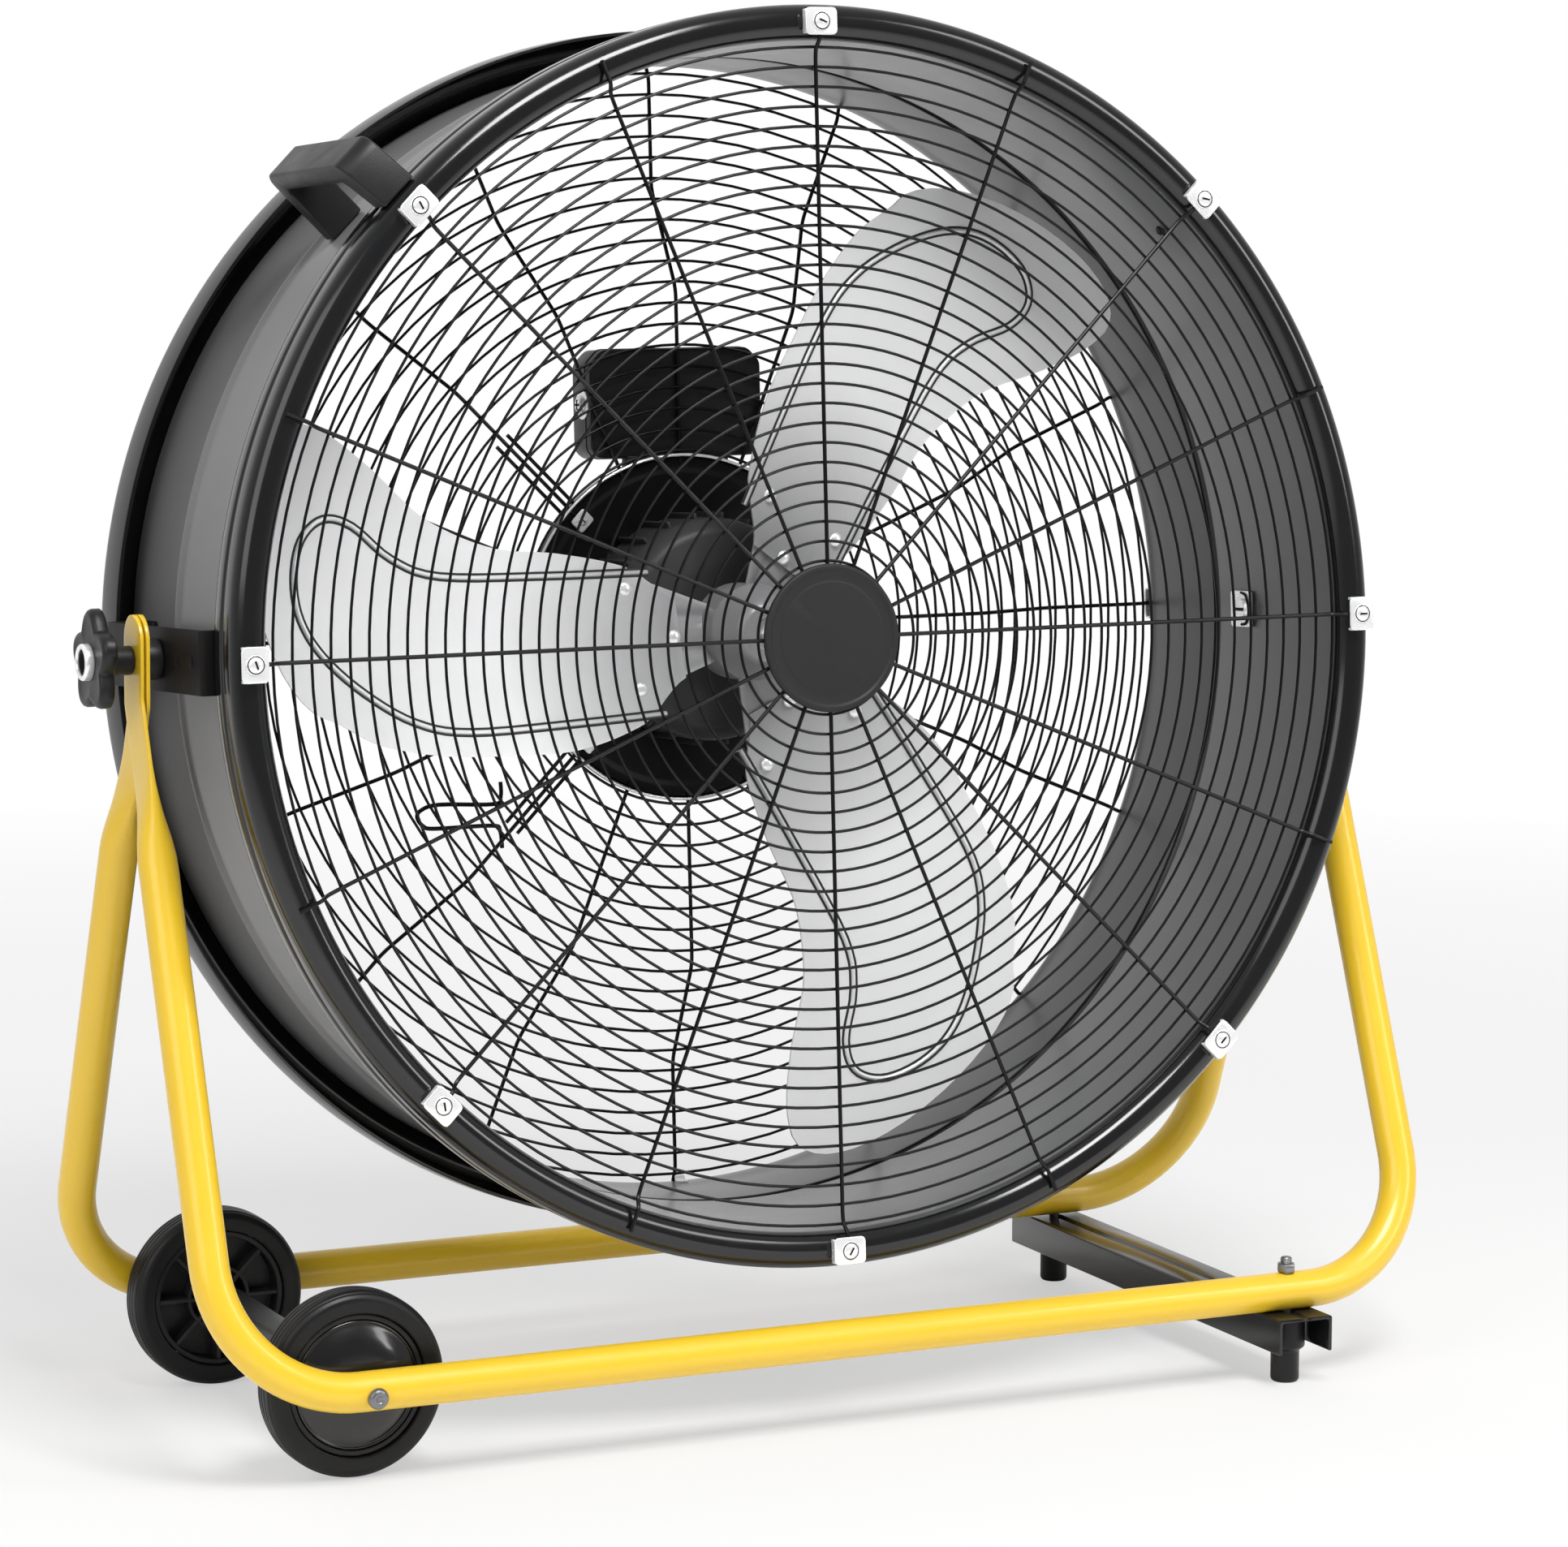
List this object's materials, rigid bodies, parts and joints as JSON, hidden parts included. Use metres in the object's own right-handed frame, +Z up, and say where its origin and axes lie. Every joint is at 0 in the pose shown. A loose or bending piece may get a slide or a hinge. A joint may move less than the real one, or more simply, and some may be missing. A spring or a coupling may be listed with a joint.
{
  "type": "drum fan",
  "caption": "Round drum fan with wire guards, hung between the arms of a tubular stand with two wheels and a foot bar.",
  "frame": {"origin": "on the floor, under the middle of the fan's bounding box", "axes": "+Z up, -Y towards the front of the fan, +X along the tilt axis to the right"},
  "size_m": [0.7778, 0.312, 0.7654],
  "materials": {
    "yellow_paint": "gloss yellow powder coat",
    "black_steel": "satin black powder coat",
    "black_wire": "black coated wire",
    "grey_metal": "satin grey",
    "bright_steel": "zinc plated",
    "motor_black": "black enamel",
    "black_plastic": "fine grain",
    "gloss_black": "gloss",
    "rubber": "matt"
  },
  "bodies": {
    "stand": {"front_tube_frame": "yellow_paint", "rear_tube_frame": "yellow_paint", "foot_bar": "black_steel", "axle": "bright_steel", "axle_nut": "bright_steel", "axle_sleeve": "black_steel", "front_foot": "rubber", "front_foot_bolt": "bright_steel", "front_foot_nut": "bright_steel", "front_wheel_washer": "bright_steel", "rear_foot": "rubber", "rear_foot_bolt": "bright_steel", "rear_foot_nut": "bright_steel", "rear_wheel_washer": "bright_steel"},
    "drum": {"drum_shell": "black_steel", "front_grille": "black_wire", "front_grille_spokes": "black_wire", "rear_guard": "black_wire", "motor_plate": "black_wire", "badge": "black_plastic", "front_clip_1": "bright_steel", "front_clip_2": "bright_steel", "front_clip_3": "bright_steel", "front_clip_4": "bright_steel", "front_clip_5": "bright_steel", "front_clip_6": "bright_steel", "front_clip_7": "bright_steel", "front_clip_8": "bright_steel", "rear_clip_1": "bright_steel", "rear_clip_2": "bright_steel", "rear_clip_3": "bright_steel", "rear_clip_4": "bright_steel", "motor_housing": "motor_black", "control_box": "black_plastic", "carry_handle": "black_plastic", "right_pivot_bracket": "black_steel", "right_pivot_plate": "bright_steel", "right_pivot_bolt": "bright_steel", "right_pivot_spacer": "black_plastic", "left_pivot_bracket": "black_steel", "left_pivot_plate": "bright_steel", "left_pivot_bolt": "bright_steel", "left_pivot_spacer": "black_plastic"},
    "rotor": {"motor_shaft": "bright_steel", "rotor_hub": "grey_metal", "blade_1": "grey_metal", "blade_2": "grey_metal", "blade_3": "grey_metal"},
    "front_wheel": {"front_tyre": "rubber", "front_wheel_centre": "black_plastic", "front_hubcap": "gloss_black"},
    "rear_wheel": {"rear_tyre": "rubber", "rear_wheel_centre": "black_plastic", "rear_hubcap": "gloss_black"},
    "left_clamp": {"left_knob": "black_plastic", "left_knob_cap": "bright_steel"},
    "right_clamp": {"right_knob": "black_plastic", "right_knob_cap": "bright_steel"},
    "dial": {"speed_dial": "black_plastic"}
  },
  "joints": [
    {"name": "drum_tilt", "type": "hinge", "parent": "stand", "child": "drum", "pos_m": [0, 0, 0.42], "axis": [1, 0, 0], "range_deg": [-86.25, 93.75]},
    {"name": "blades_spin", "type": "hinge", "parent": "drum", "child": "rotor", "pos_m": [0, 0, 0.42], "axis": [0, 0.9979, -0.0654], "continuous": true},
    {"name": "front_wheel_spin", "type": "hinge", "parent": "stand", "child": "front_wheel", "pos_m": [-0.279, -0.106, 0.0495], "axis": [0, 1, 0], "continuous": true},
    {"name": "rear_wheel_spin", "type": "hinge", "parent": "stand", "child": "rear_wheel", "pos_m": [-0.279, 0.106, 0.0495], "axis": [0, 1, 0], "continuous": true},
    {"name": "left_knob_turn", "type": "hinge", "parent": "drum", "child": "left_clamp", "pos_m": [-0.376, 0, 0.42], "axis": [-1, 0, 0], "range_deg": [0, 180]},
    {"name": "right_knob_turn", "type": "hinge", "parent": "drum", "child": "right_clamp", "pos_m": [0.376, 0, 0.42], "axis": [1, 0, 0], "range_deg": [0, 180]},
    {"name": "speed_dial_turn", "type": "hinge", "parent": "drum", "child": "dial", "pos_m": [-0.022, 0.12477, 0.5401], "axis": [0, 0.9979, -0.0654], "range_deg": [0, 135]}
  ]
}
